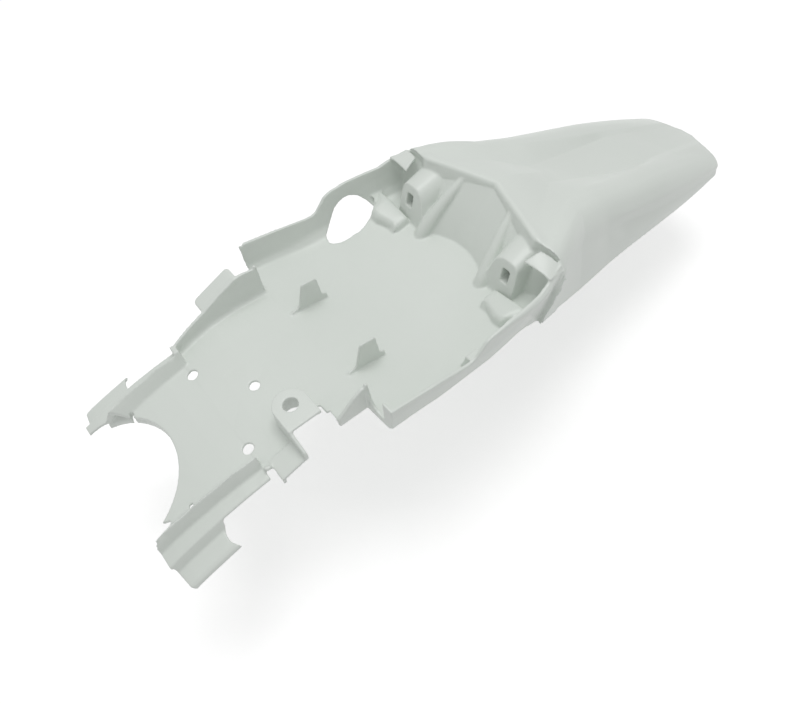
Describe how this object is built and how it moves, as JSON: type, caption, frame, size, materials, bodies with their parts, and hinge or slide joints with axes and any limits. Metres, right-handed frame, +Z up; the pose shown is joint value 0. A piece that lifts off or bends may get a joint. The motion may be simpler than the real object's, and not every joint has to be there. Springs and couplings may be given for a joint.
{
  "type": "motorcycle rear fender",
  "caption": "One-piece moulded rear fender: open tray with bolt holes, fins, bosses and a side window, running into a hooded tail with skirts.",
  "frame": {"origin": "axis of the middle bolt hole in the front floor, at half the floor's thickness", "axes": "+X towards the tail, +Y to the right side of the bike, +Z up, away from the wheel"},
  "size_m": [0.6785, 0.2185, 0.1257],
  "materials": {
    "white_plastic": "smooth white injection-moulded polypropylene with a soft gloss"
  },
  "bodies": {
    "root": {"rear_fender": "white_plastic"}
  },
  "joints": []
}
